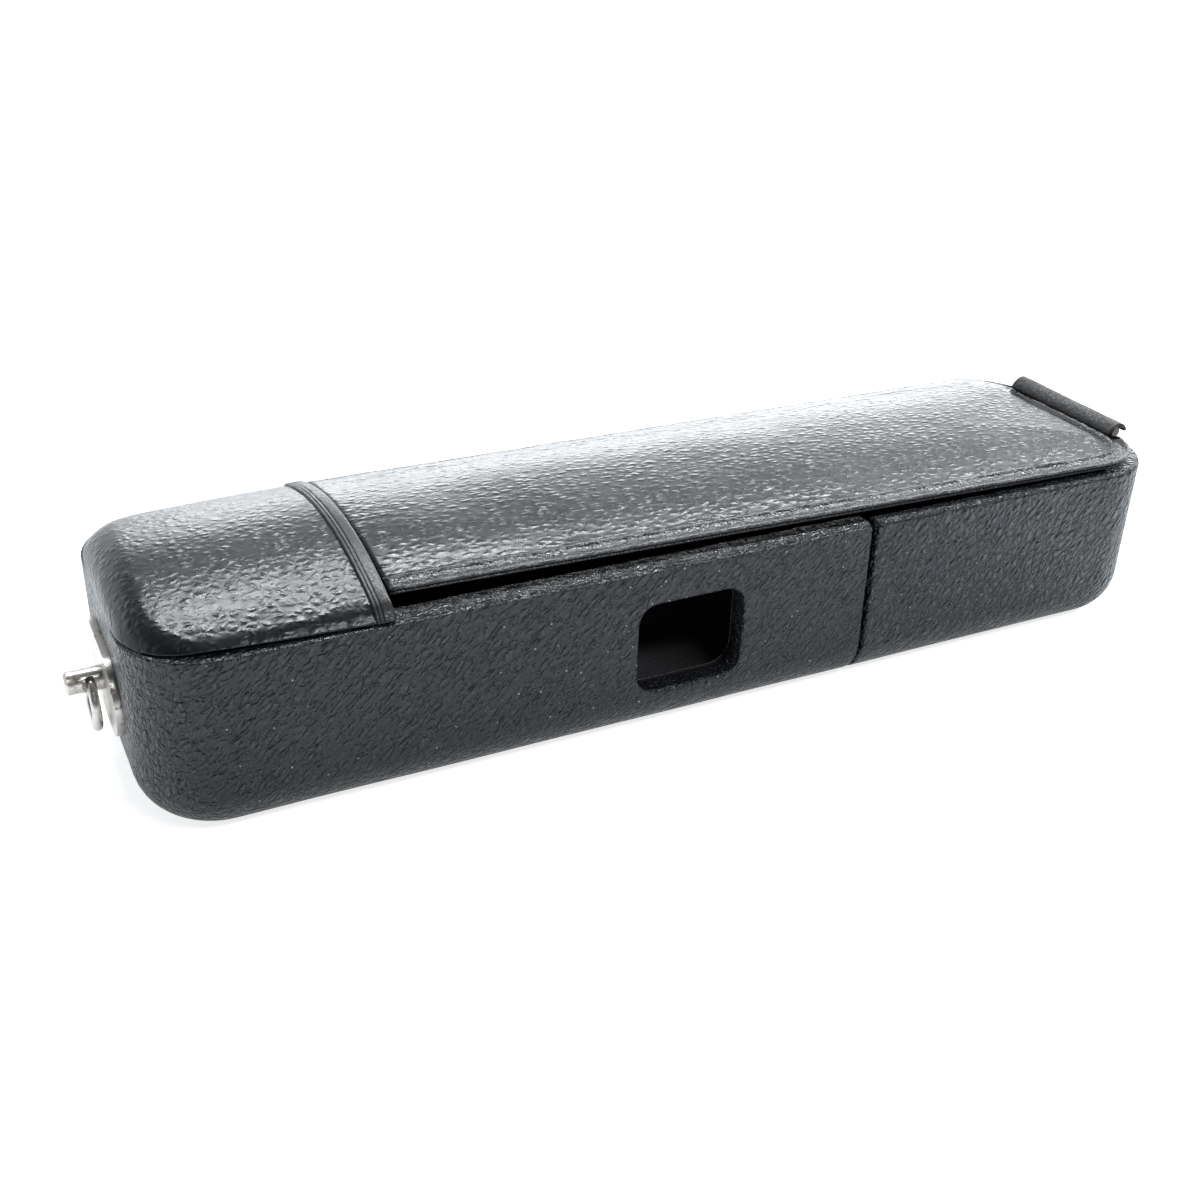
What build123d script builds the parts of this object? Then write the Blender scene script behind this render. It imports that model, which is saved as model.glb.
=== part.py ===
from build123d import *
import math
import os

# A leather case for a long, slim subminiature camera. The case is two boxes
# that telescope along X: the tray at +X carries an inner neck, and the sleeve
# at -X slides over that neck. A crowned lid is hinged at the tray's far end.
# Millimetres, +Z up. The origin is the middle of the underside.

# Outside of the closed case
body_length = 128.0
body_width = 35.0
corner_r = 8.7
base_r = 5.7
sleeve_top = 21.0
tray_top = 21.3

# Wall build-up, from the outside in
leather_t = 0.9
board_t = 1.0
slide_clearance = 0.25
neck_t = 1.0
lining_t = 0.4
turn_over_t = 0.8

# Mouths of the two boxes, and the neck that joins them
sleeve_mouth_x = 18.8
mouth_gap = 0.5
neck_top = 20.0
slide_travel = 22.0
pad_t = 0.8
pad_width = 17.0
pad_height = 13.0
pad_z = 12.5
pad_r = 2.0

# Window in the sleeve's front wall
window_length = 13.2
window_height = 10.95
window_x = -4.5
window_z = 11.42
window_r = 2.3
slot_margin = 0.5

# Cap over the sleeve's closed end
crown_top = 25.5
crown_drop = 3.66
crown_fall = 0.9
shoulder_r = 3.6
cap_length = 25.8
band_width = 2.0
band_stand = 0.2
band_turn_over = 0.6
cap_lining_t = 0.3

# Lid, from its free end by the cap to its hinge end
lid_gap = 0.3
lid_end_inset = 1.2
lid_free_inset = 3.05
lid_hinge_inset = 1.05
lid_free_z = 22.5
lid_hinge_z = 21.45
lid_free_crown = 2.4
lid_hinge_crown = 1.8
lid_edge_t = 1.0
lid_corner_r = 7.7
lid_leather_t = 0.7
lid_board_edge_t = 0.2
lid_turn_in = 3.0
lid_turn_in_t = 0.4
lid_lining_t = 0.25
trim = 0.5

# Hinge at the tray's closed end
hinge_z = 22.65
knuckle_r = 0.7
pin_r = 0.4
pin_clearance = 0.05
leaf_t = 0.3
barrel_length = 18.0
knuckle_count = 5
knuckle_gap = 0.2
leaf_relief = 0.3
tray_leaf_drop = 7.0
lid_leaf_reach = 9.0
leaf_rivet_r = 0.6
leaf_rivet_spacing = 11.0
leaf_rivet_inset = 2.0
lid_rivet_length = 0.25
cover_clearance = 0.25
cover_t = 0.45
cover_overhang = 0.5
cover_end_angle = 12.0
cover_foot = 0.3
notch_clearance = 0.2

# Chain fitting on the sleeve's closed end
stud_z = 11.6
plate_width = 16.0
plate_height = 9.0
plate_t = 0.7
plate_rivet_r = 0.6
plate_rivet_spacing = 11.0
stud_r = 1.3
stud_length = 3.7
stud_chamfer = 0.25
stud_shank_r = 0.8
stud_shank_proud = 0.1
cross_hole_reach = 1.2
cross_hole_r = 0.9
washer_r = 2.2
washer_t = 0.4
washer_clearance = 0.2
ring_wire_r = 0.5
ring_mean_r = 2.75

# Depths of the layers below the outer surface
board_out = leather_t
board_in = board_out + board_t
neck_out = board_in + slide_clearance
neck_in = neck_out + neck_t
lining_in = neck_in + lining_t

# Places worked out from the sizes above
half_length = body_length / 2
half_width = body_width / 2
above_all = crown_top + body_width
tray_mouth_x = sleeve_mouth_x + mouth_gap
cap_mouth_x = cap_length - half_length
neck_mouth_x = corner_r - half_length
hinge_x = half_length - neck_out + knuckle_r
knuckle_length = (barrel_length - (knuckle_count - 1) * knuckle_gap) / knuckle_count
knuckle_pitch = knuckle_length + knuckle_gap
cover_inner_r = knuckle_r + cover_clearance
cover_outer_r = cover_inner_r + cover_t
cover_length = barrel_length + 2 * cover_overhang
lid_free_x = cap_mouth_x + lid_gap
lid_end_x = half_length - lid_end_inset
lid_free_half = half_width - lid_free_inset
lid_hinge_half = half_width - lid_hinge_inset
lid_ends = (
    (lid_free_x, lid_free_half, lid_free_z, lid_free_crown),
    (lid_end_x, lid_hinge_half, lid_hinge_z, lid_hinge_crown),
)
plate_face_x = -half_length - plate_t
cross_hole_x = plate_face_x - cross_hole_reach


def body_form(inset, top):
    """The body drawn in by inset on its sides, ends and underside, up to the height top."""
    with BuildPart() as form:
        with BuildSketch(Plane.XY.offset(inset)):
            RectangleRounded(body_length - 2 * inset, body_width - 2 * inset, corner_r - inset)
        extrude(amount=top - inset)
        fillet(form.faces().sort_by(Axis.Z)[0].edges(), base_r - inset)
    return form.part


def cap_form(inset):
    """The crowned end of the sleeve above the seam, drawn in by inset."""
    crown_r = (half_width**2 + crown_drop**2) / (2 * crown_drop)
    slope = crown_fall / cap_length
    far_x = half_length + corner_r
    far_z = crown_top + slope * (far_x - cap_mouth_x)
    with BuildPart() as form:
        with BuildSketch(Plane.XY.offset(sleeve_top - 2 * shoulder_r)):
            RectangleRounded(body_length, body_width, corner_r)
            offset(amount=-inset)
        extrude(amount=above_all)
        with BuildSketch(Plane.YZ.offset(far_x)):
            with Locations((0, far_z - crown_r)):
                Circle(crown_r - inset)
        extrude(amount=2 * far_x, dir=(-1, 0, -slope), mode=Mode.INTERSECT)
        fillet(form.faces().sort_by(Axis.Z)[-1].edges(), shoulder_r - inset)
        split(bisect_by=Plane.XY.offset(sleeve_top), keep=Keep.TOP)
        split(bisect_by=Plane.YZ.offset(cap_mouth_x), keep=Keep.BOTTOM)
    return form.part


def crown_height(y, half, edge, crown):
    """Height at y of the arc that runs through edge at half and through crown at the middle."""
    rise = crown - edge
    radius = (half**2 + rise**2) / (2 * rise)
    return crown - radius + math.sqrt(radius**2 - y**2)


def lid_form(inset, low, edge, crown_inset=None):
    """A lid layer from low above the lid's underside, edge high at its sides, crowned or else flat."""
    with BuildPart() as form:
        for x, half, z, crown in lid_ends:
            wide = half - inset + trim
            with BuildSketch(Plane.YZ.offset(x)):
                with BuildLine():
                    if crown_inset is None:
                        side_z = edge
                        Line((wide, z + edge), (-wide, z + edge))
                    else:
                        top_z = crown - crown_inset
                        side_z = crown_height(wide, half - inset, edge, top_z)
                        ThreePointArc((wide, z + side_z), (0, z + top_z), (-wide, z + side_z))
                    Polyline((-wide, z + side_z), (-wide, z + low), (wide, z + low), (wide, z + side_z))
                make_face()
        loft(ruled=True)
        with BuildSketch(Plane.XY) as plan:
            with BuildLine():
                Polyline(
                    (lid_free_x, -lid_free_half),
                    (lid_end_x, -lid_hinge_half),
                    (lid_end_x, lid_hinge_half),
                    (lid_free_x, lid_free_half),
                    close=True,
                )
            make_face()
            fillet(plan.vertices().group_by(Axis.X)[-1], lid_corner_r)
            offset(amount=-inset)
        extrude(amount=above_all, mode=Mode.INTERSECT)
    return form.part


def knuckle_places(first):
    """The Y of every second knuckle along the barrel, from the one numbered first."""
    return [(i - (knuckle_count - 1) / 2) * knuckle_pitch for i in range(first, knuckle_count, 2)]


# Hinge pin: a steel wire through all the knuckles, tight in the tray's
with BuildPart() as hinge_pin:
    with BuildSketch(Plane.XZ):
        with Locations((hinge_x, hinge_z)):
            Circle(pin_r)
    extrude(amount=barrel_length / 2, both=True)
hinge_pin.part.label = "hinge_pin"

# Tray leaf: hangs from its knuckles, let into the end board and riveted to it
tray_leaf_x = hinge_x - knuckle_r
tray_leaf_z = hinge_z - tray_leaf_drop
with BuildPart() as tray_leaf_rivets:
    with BuildSketch(Plane.YZ.offset(tray_leaf_x)):
        with Locations((0, tray_leaf_z + leaf_rivet_inset)):
            with GridLocations(leaf_rivet_spacing, 0, 2, 1):
                Circle(leaf_rivet_r)
    extrude(amount=neck_out - board_out)
tray_leaf_rivets.part.label = "tray_leaf_rivets"

with BuildPart() as tray_hinge_leaf:
    for y in knuckle_places(0):
        with BuildSketch(Plane.XZ.offset(-y)):
            with Locations((hinge_x, hinge_z)):
                Circle(knuckle_r)
            with Locations((tray_leaf_x, hinge_z)):
                Rectangle(leaf_t, knuckle_r + leaf_relief, align=(Align.MIN, Align.MAX))
        extrude(amount=knuckle_length / 2, both=True)
    with BuildSketch(Plane.YZ.offset(tray_leaf_x)):
        with Locations((0, tray_leaf_z)):
            tray_leaf_height = tray_leaf_drop - knuckle_r - leaf_relief
            Rectangle(barrel_length, tray_leaf_height, align=(Align.CENTER, Align.MIN))
    extrude(amount=leaf_t)
    add(hinge_pin.part, mode=Mode.SUBTRACT)
    add(tray_leaf_rivets.part, mode=Mode.SUBTRACT)
tray_hinge_leaf.part.label = "tray_hinge_leaf"

# Lid leaf: let into the underside of the lid's board, its knuckles free on the pin
lid_leaf_x = hinge_x - lid_leaf_reach
lid_leaf_z = hinge_z - knuckle_r
with BuildPart() as lid_leaf_rivets:
    with BuildSketch(Plane.XY.offset(lid_leaf_z)):
        with Locations((lid_leaf_x + leaf_rivet_inset, 0)):
            with GridLocations(0, leaf_rivet_spacing, 1, 2):
                Circle(leaf_rivet_r)
    extrude(amount=leaf_t + lid_rivet_length)
lid_leaf_rivets.part.label = "lid_leaf_rivets"

with BuildPart() as lid_hinge_leaf:
    for y in knuckle_places(1):
        with BuildSketch(Plane.XZ.offset(-y)):
            with Locations((hinge_x, hinge_z)):
                Circle(knuckle_r)
            with Locations((hinge_x, lid_leaf_z)):
                Rectangle(knuckle_r + leaf_relief, leaf_t, align=(Align.MAX, Align.MIN))
            with Locations((hinge_x, hinge_z)):
                Circle(pin_r + pin_clearance, mode=Mode.SUBTRACT)
        extrude(amount=knuckle_length / 2, both=True)
    with BuildSketch(Plane.XY.offset(lid_leaf_z)):
        with Locations((lid_leaf_x, 0)):
            lid_leaf_length = lid_leaf_reach - knuckle_r - leaf_relief
            Rectangle(lid_leaf_length, barrel_length, align=(Align.MIN, Align.CENTER))
    extrude(amount=leaf_t)
    add(lid_leaf_rivets.part, mode=Mode.SUBTRACT)
lid_hinge_leaf.part.label = "lid_hinge_leaf"

# Hinge cover: a leather strap rolled over the barrel, open at both ends, fixed to the lid
with BuildPart() as hinge_cover:
    with BuildSketch(Plane.XZ):
        with BuildLine():
            roll = 180 - cover_end_angle
            outer = CenterArc((hinge_x, hinge_z), cover_outer_r, cover_end_angle, roll)
            inner = CenterArc((hinge_x, hinge_z), cover_inner_r, cover_end_angle, roll)
            Line(outer @ 0, inner @ 0)
            foot_z = hinge_z - cover_foot
            Polyline(outer @ 1, (hinge_x - cover_outer_r, foot_z), (hinge_x - cover_inner_r, foot_z), inner @ 1)
        make_face()
    extrude(amount=cover_length / 2, both=True)
hinge_cover.part.label = "hinge_cover"

# Notch in the lid's hinge end, filled by the hinge cover, and its wider one in the board
lid_notch_x = hinge_x - cover_outer_r
with BuildPart() as lid_notch:
    with BuildSketch(Plane.XY):
        with Locations((lid_notch_x, 0)):
            Rectangle(corner_r, cover_length + 2 * notch_clearance, align=(Align.MIN, Align.CENTER))
    extrude(amount=above_all)
with BuildPart() as lid_board_notch:
    with BuildSketch(Plane.XY):
        with Locations((lid_notch_x - lid_leather_t, 0)):
            notch_width = cover_length + 2 * (notch_clearance + lid_leather_t)
            Rectangle(corner_r, notch_width, align=(Align.MIN, Align.CENTER))
    extrude(amount=above_all)

# Lid board: a skived board, flat below and crowned above
lid_outer_block = lid_form(0, 0, lid_edge_t, 0)
lid_board_block = lid_form(lid_leather_t, lid_turn_in_t, lid_turn_in_t + lid_board_edge_t, lid_leather_t)
lid_pocket_block = lid_form(lid_turn_in, -trim, lid_turn_in_t)
lid_lining_block = lid_form(lid_turn_in, lid_turn_in_t - lid_lining_t, lid_turn_in_t)
with BuildPart() as lid_board:
    add(lid_board_block)
    add(lid_board_notch.part, mode=Mode.SUBTRACT)
    add(lid_hinge_leaf.part, mode=Mode.SUBTRACT)
    add(lid_leaf_rivets.part, mode=Mode.SUBTRACT)
lid_board.part.label = "lid_board"

# Lid leather: over the board and turned in under its edge all round
with BuildPart() as lid_leather:
    add(lid_outer_block)
    add(lid_notch.part, mode=Mode.SUBTRACT)
    add(lid_board.part, mode=Mode.SUBTRACT)
    add(lid_pocket_block, mode=Mode.SUBTRACT)
    add(lid_hinge_leaf.part, mode=Mode.SUBTRACT)
    add(lid_leaf_rivets.part, mode=Mode.SUBTRACT)
lid_leather.part.label = "lid_leather"

# Lid lining: a sheet of cloth inside the turned-in edge
with BuildPart() as lid_lining:
    add(lid_lining_block)
    add(lid_hinge_leaf.part, mode=Mode.SUBTRACT)
    add(lid_leaf_rivets.part, mode=Mode.SUBTRACT)
lid_lining.part.label = "lid_lining"

# Tray board: the half box at the hinge end
tray_outer_block = body_form(0, tray_top)
tray_board_block = body_form(board_out, tray_top - turn_over_t)
tray_space = body_form(neck_out, tray_top + turn_over_t)
with BuildPart() as tray_board:
    add(tray_board_block)
    add(tray_space, mode=Mode.SUBTRACT)
    split(bisect_by=Plane.YZ.offset(tray_mouth_x + turn_over_t), keep=Keep.TOP)
    add(tray_hinge_leaf.part, mode=Mode.SUBTRACT)
    add(tray_leaf_rivets.part, mode=Mode.SUBTRACT)
tray_board.part.label = "tray_board"

# Tray leather: over the board, its top edges and its mouth, notched for the barrel
notch_z = hinge_z - cover_outer_r - notch_clearance
with BuildPart() as tray_leather:
    add(tray_outer_block)
    add(tray_space, mode=Mode.SUBTRACT)
    split(bisect_by=Plane.YZ.offset(tray_mouth_x), keep=Keep.TOP)
    add(tray_board.part, mode=Mode.SUBTRACT)
    add(tray_hinge_leaf.part, mode=Mode.SUBTRACT)
    add(tray_leaf_rivets.part, mode=Mode.SUBTRACT)
    with BuildSketch(Plane.XY.offset(notch_z)):
        with Locations((half_length, 0)):
            Rectangle(2 * corner_r, cover_length + 2 * notch_clearance)
    extrude(amount=above_all, mode=Mode.SUBTRACT)
tray_leather.part.label = "tray_leather"

# Slot in the neck's front wall: clears the window over the whole slide
with BuildPart() as slot_cut:
    with BuildSketch(Plane.XZ.offset(half_width - board_in)):
        with Locations((window_x - slide_travel / 2, window_z)):
            slot_length = window_length + slide_travel + 2 * slot_margin
            RectangleRounded(slot_length, window_height + 2 * slot_margin, window_r + slot_margin)
    extrude(amount=-neck_out)

# Neck: a thin open trough, glued into the tray, that the sleeve runs on
neck_block = body_form(neck_out, neck_top)
neck_space = body_form(neck_in, neck_top + turn_over_t)
with BuildPart() as tray_neck:
    add(neck_block)
    add(neck_space, mode=Mode.SUBTRACT)
    split(bisect_by=Plane.YZ.offset(neck_mouth_x), keep=Keep.TOP)
    add(slot_cut.part, mode=Mode.SUBTRACT)
tray_neck.part.label = "tray_neck"

# Tray lining: cloth over the inside of the neck
lining_block = body_form(neck_in, neck_top)
bay_space = body_form(lining_in, neck_top + turn_over_t)
with BuildPart() as tray_lining:
    add(lining_block)
    add(bay_space, mode=Mode.SUBTRACT)
    split(bisect_by=Plane.YZ.offset(neck_mouth_x), keep=Keep.TOP)
    add(slot_cut.part, mode=Mode.SUBTRACT)
tray_lining.part.label = "tray_lining"

# Tray end pad: felt that the camera's end rests against
with BuildPart() as tray_end_pad:
    with BuildSketch(Plane.YZ.offset(half_length - lining_in)):
        with Locations((0, pad_z)):
            RectangleRounded(pad_width, pad_height, pad_r)
    extrude(amount=-pad_t)
tray_end_pad.part.label = "tray_end_pad"

# Chain stud: a turned nickel stud, cross drilled for the ring, its shank through the end wall
with BuildPart() as chain_stud:
    with BuildSketch(Plane.YZ.offset(plate_face_x)):
        with Locations((0, stud_z)):
            Circle(stud_r)
    extrude(amount=-stud_length)
    chamfer(chain_stud.edges().filter_by(GeomType.CIRCLE).sort_by(Axis.X)[0], stud_chamfer)
    with BuildSketch(Plane.YZ.offset(plate_face_x)):
        with Locations((0, stud_z)):
            Circle(stud_shank_r)
    extrude(amount=plate_t + board_in + washer_t + stud_shank_proud)
    with BuildSketch(Plane.XZ):
        with Locations((cross_hole_x, stud_z)):
            Circle(cross_hole_r)
    extrude(amount=2 * stud_r, both=True, mode=Mode.SUBTRACT)
chain_stud.part.label = "chain_stud"

# Washer: the stud's shank is peened over it inside the sleeve
with BuildPart() as stud_washer:
    with BuildSketch(Plane.YZ.offset(board_in - half_length)):
        with Locations((0, stud_z)):
            Circle(washer_r)
            Circle(stud_shank_r, mode=Mode.SUBTRACT)
    extrude(amount=washer_t)
stud_washer.part.label = "stud_washer"

# Plate rivets: through the end plate and the end wall
with BuildPart() as plate_rivets:
    with BuildSketch(Plane.YZ.offset(plate_face_x)):
        with Locations((0, stud_z)):
            with GridLocations(plate_rivet_spacing, 0, 2, 1):
                Circle(plate_rivet_r)
    extrude(amount=plate_t + board_in)
plate_rivets.part.label = "plate_rivets"

# End plate: an oval nickel plate that spreads the stud's load
with BuildPart() as end_plate:
    with BuildSketch(Plane.YZ.offset(plate_face_x)):
        with Locations((0, stud_z)):
            SlotOverall(plate_width, plate_height)
    extrude(amount=plate_t)
    add(chain_stud.part, mode=Mode.SUBTRACT)
    add(plate_rivets.part, mode=Mode.SUBTRACT)
end_plate.part.label = "end_plate"

# Chain ring: hangs from the stud's cross hole
ring_sag = ring_mean_r - math.sqrt(ring_mean_r**2 - stud_r**2)
ring_top_z = stud_z + ring_sag / 2
ring_z = ring_top_z - ring_mean_r
with BuildPart() as chain_ring:
    with BuildSketch(Plane.XZ):
        with Locations((cross_hole_x, ring_top_z)):
            Circle(ring_wire_r)
    revolve(axis=Axis((cross_hole_x, 0, ring_z), (1, 0, 0)))
chain_ring.part.label = "chain_ring"

# Window opening through the sleeve's front wall
with BuildPart() as window_cut:
    with BuildSketch(Plane.XZ.offset(half_width + leather_t)):
        with Locations((window_x, window_z)):
            RectangleRounded(window_length, window_height, window_r)
    extrude(amount=-leather_t - neck_out)

# Sleeve board: the half box at the chain end
sleeve_outer_block = body_form(0, sleeve_top)
sleeve_board_block = body_form(board_out, sleeve_top - turn_over_t)
sleeve_space = body_form(board_in, sleeve_top + turn_over_t)
with BuildPart() as sleeve_board:
    add(sleeve_board_block)
    add(sleeve_space, mode=Mode.SUBTRACT)
    split(bisect_by=Plane.YZ.offset(sleeve_mouth_x - turn_over_t), keep=Keep.BOTTOM)
    add(window_cut.part, mode=Mode.SUBTRACT)
    add(chain_stud.part, mode=Mode.SUBTRACT)
    add(plate_rivets.part, mode=Mode.SUBTRACT)
sleeve_board.part.label = "sleeve_board"

# Sleeve leather: over the board, its top edges and its mouth
with BuildPart() as sleeve_leather:
    add(sleeve_outer_block)
    add(sleeve_space, mode=Mode.SUBTRACT)
    split(bisect_by=Plane.YZ.offset(sleeve_mouth_x), keep=Keep.BOTTOM)
    add(sleeve_board.part, mode=Mode.SUBTRACT)
    add(window_cut.part, mode=Mode.SUBTRACT)
    add(chain_stud.part, mode=Mode.SUBTRACT)
    add(plate_rivets.part, mode=Mode.SUBTRACT)
sleeve_leather.part.label = "sleeve_leather"

# Sleeve end pad: felt round the washer
with BuildPart() as sleeve_end_pad:
    with BuildSketch(Plane.YZ.offset(board_in - half_length)):
        with Locations((0, pad_z)):
            RectangleRounded(pad_width, pad_height, pad_r)
        with Locations((0, stud_z)):
            Circle(washer_r + washer_clearance, mode=Mode.SUBTRACT)
    extrude(amount=pad_t)
sleeve_end_pad.part.label = "sleeve_end_pad"

# Cap board: the moulded crown over the sleeve's closed end
cap_outer_block = cap_form(0)
cap_board_block = cap_form(board_out)
cap_board_space = cap_form(board_in)
with BuildPart() as cap_board:
    add(cap_board_block)
    add(cap_board_space, mode=Mode.SUBTRACT)
    split(bisect_by=Plane.YZ.offset(cap_mouth_x - band_turn_over), keep=Keep.BOTTOM)
cap_board.part.label = "cap_board"

# Cap leather: stretched over the crown as far as the band
with BuildPart() as cap_leather:
    add(cap_outer_block)
    add(cap_board_block, mode=Mode.SUBTRACT)
    split(bisect_by=Plane.YZ.offset(cap_mouth_x - band_width), keep=Keep.BOTTOM)
cap_leather.part.label = "cap_leather"

# Cap band: a leather strip that binds the crown's free edge
cap_band_block = cap_form(-band_stand)
with BuildPart() as cap_band:
    add(cap_band_block)
    add(cap_board_space, mode=Mode.SUBTRACT)
    split(bisect_by=Plane.YZ.offset(cap_mouth_x - band_width), keep=Keep.TOP)
    add(cap_board.part, mode=Mode.SUBTRACT)
cap_band.part.label = "cap_band"

# Cap lining: cloth under the crown
cap_bay_space = cap_form(board_in + cap_lining_t)
with BuildPart() as cap_lining:
    add(cap_board_space)
    add(cap_bay_space, mode=Mode.SUBTRACT)
    split(bisect_by=Plane.YZ.offset(cap_mouth_x - band_turn_over), keep=Keep.BOTTOM)
cap_lining.part.label = "cap_lining"

os.makedirs("parts", exist_ok=True)
for piece in (
    tray_board,
    tray_leather,
    tray_neck,
    tray_lining,
    tray_end_pad,
    tray_hinge_leaf,
    tray_leaf_rivets,
    hinge_pin,
    sleeve_board,
    sleeve_leather,
    sleeve_end_pad,
    cap_board,
    cap_leather,
    cap_band,
    cap_lining,
    end_plate,
    plate_rivets,
    chain_stud,
    stud_washer,
    chain_ring,
    lid_board,
    lid_leather,
    lid_lining,
    lid_hinge_leaf,
    lid_leaf_rivets,
    hinge_cover,
):
    export_step(piece.part, f"parts/{piece.part.label}.step")
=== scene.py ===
import math

import bmesh
import bpy
import numpy as np
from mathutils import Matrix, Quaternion, Vector, noise


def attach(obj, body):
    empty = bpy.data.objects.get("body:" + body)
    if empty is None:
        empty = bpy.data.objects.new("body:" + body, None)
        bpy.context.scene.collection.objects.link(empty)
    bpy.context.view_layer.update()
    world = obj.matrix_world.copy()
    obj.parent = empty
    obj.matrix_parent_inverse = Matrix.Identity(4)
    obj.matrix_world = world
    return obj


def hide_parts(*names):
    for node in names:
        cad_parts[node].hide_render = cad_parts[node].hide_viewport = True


# Camera case: a black leather case for a slim camera, two half boxes that
# telescope along X under a crowned lid. Shapes are worked out in millimetres
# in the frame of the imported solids, and go into Blender in metres.
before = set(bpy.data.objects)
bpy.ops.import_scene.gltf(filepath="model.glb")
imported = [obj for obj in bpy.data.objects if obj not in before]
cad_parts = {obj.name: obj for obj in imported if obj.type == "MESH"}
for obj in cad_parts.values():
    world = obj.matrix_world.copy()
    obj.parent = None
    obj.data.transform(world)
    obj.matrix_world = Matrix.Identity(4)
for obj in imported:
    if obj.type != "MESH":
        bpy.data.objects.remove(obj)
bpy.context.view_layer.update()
scene = bpy.context.scene
mm = 0.001

# Camera: where the photograph was taken from, worked out from the case's
# corners, edges and window.
camera_azimuth, camera_elevation, camera_roll = -27.2, 28.7, 1.99
azimuth, elevation = math.radians(camera_azimuth), math.radians(camera_elevation)
towards_camera = Vector((
    math.sin(azimuth) * math.cos(elevation),
    -math.cos(azimuth) * math.cos(elevation),
    math.sin(elevation),
))
camera = bpy.data.objects.new("camera", bpy.data.cameras.new("camera"))
camera.data.sensor_width = 36
camera.data.lens = 44.1
camera.location = (-0.0779, -0.13785, 0.0931)
camera.rotation_mode = "QUATERNION"
camera.rotation_quaternion = (
    (-towards_camera).to_track_quat("-Z", "Y")
    @ Quaternion((0, 0, 1), math.radians(camera_roll))
)
scene.collection.objects.link(camera)
scene.camera = camera
scene.view_settings.view_transform = "Standard"


# Floor: the white sheet that the case lies on, seen as plain white, with the
# soft shadow of the case on it.
class Wire:
    """An output of a node, with arithmetic that adds the Math nodes."""

    def __init__(self, tree, socket=None):
        self.tree = tree
        self.socket = socket

    def node(self, kind, settings=None, sockets=None, out=0):
        """Adds a node of that kind, its settings first, then its sockets' values or links."""
        made = self.tree.nodes.new(kind)
        for name, value in (settings or {}).items():
            if name == "stops":
                ramp = made.color_ramp
                while len(ramp.elements) < len(value):
                    ramp.elements.new(0.5)
                for element, (place, colour) in zip(ramp.elements, value):
                    element.position = place
                    element.color = colour
            else:
                setattr(made, name, value)
        for name, value in (sockets or {}).items():
            if isinstance(value, Wire):
                self.tree.links.new(value.socket, made.inputs[name])
            else:
                made.inputs[name].default_value = value
        return Wire(self.tree, made.outputs[out] if len(made.outputs) else None)

    def _math(self, operation, *values):
        return self.node("ShaderNodeMath", {"operation": operation}, dict(enumerate(values)))

    def __add__(self, other):
        return self._math("ADD", self, other)

    def __sub__(self, other):
        return self._math("SUBTRACT", self, other)

    def __rsub__(self, other):
        return self._math("SUBTRACT", other, self)

    def __mul__(self, other):
        return self._math("MULTIPLY", self, other)

    def most(self, other):
        return self._math("MAXIMUM", self, other)

    def ramp(self, low, high):
        """From 0 at low to 1 at high, smooth, and level beyond them."""
        return self.node(
            "ShaderNodeMapRange", {"interpolation_type": "SMOOTHSTEP"},
            {"Value": self, "From Min": low, "From Max": high, "To Min": 0.0, "To Max": 1.0})

    __radd__ = __add__
    __rmul__ = __mul__


def empty_material(name):
    """A new material with no nodes, and a wire to build its nodes with."""
    material = bpy.data.materials.new(name)
    material.use_nodes = True
    material.node_tree.nodes.clear()
    return material, Wire(material.node_tree)


floor_mesh = bpy.data.meshes.new("floor")
floor_bm = bmesh.new()
floor_corners = [floor_bm.verts.new(place) for place in
                 ((-3, -3, 0), (3, -3, 0), (3, 3, 0), (-3, 3, 0))]
floor_bm.faces.new(floor_corners)
floor_bm.to_mesh(floor_mesh)
floor_bm.free()
floor = bpy.data.objects.new("floor", floor_mesh)
scene.collection.objects.link(floor)
white_sheet, sheet_wire = empty_material("white_sheet")
seen_directly = sheet_wire.node("ShaderNodeLightPath", out="Is Camera Ray")
seen_in_gloss = sheet_wire.node("ShaderNodeLightPath", out="Is Glossy Ray").most(
    sheet_wire.node("ShaderNodeLightPath", out="Is Transmission Ray"))
sheet_lit = sheet_wire.node("ShaderNodeBsdfDiffuse", None, {"Color": (0.84, 0.87, 0.90, 1)})
sheet_glow = sheet_wire.node(
    "ShaderNodeEmission", None,
    {"Color": (1, 1, 1, 1), "Strength": (seen_directly * 0.78).most(seen_in_gloss * 0.45)})
sheet_wire.node(
    "ShaderNodeOutputMaterial", None,
    {"Surface": sheet_wire.node("ShaderNodeAddShader", None, {0: sheet_lit, 1: sheet_glow})})
floor_mesh.materials.append(white_sheet)

# Light: white surroundings, brightest low down behind the case, with a broad
# soft lamp behind it, a strip lamp over it and a small one at the front.
world = bpy.data.worlds.new("studio")
scene.world = world
world.use_nodes = True
world.node_tree.nodes.clear()
world_wire = Wire(world.node_tree)
seen_straight = world_wire.node("ShaderNodeLightPath", out="Is Camera Ray")
sky_direction = world_wire.node("ShaderNodeTexCoord", out="Generated")
sky_right = world_wire.node("ShaderNodeSeparateXYZ", None, {0: sky_direction}, out="X")
sky_depth = world_wire.node("ShaderNodeSeparateXYZ", None, {0: sky_direction}, out="Y")
sky_height = world_wire.node("ShaderNodeSeparateXYZ", None, {0: sky_direction}, out="Z")
viewer_side = (0 - sky_depth).ramp(-0.15, 0.40)
low_glow = (1 - sky_height.ramp(0.26, 0.72)) * (sky_right.ramp(0.0, 0.75) * 0.40 + 0.84)
sky_level = (low_glow * 1.12 + 0.22) * (1 - viewer_side * 0.90)
sky_tint = world_wire.node(
    "ShaderNodeMix", {"data_type": "RGBA"},
    {"Factor": seen_straight, 6: (0.93, 0.97, 1.0, 1), 7: (1, 1, 1, 1)}, out=2)
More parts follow.
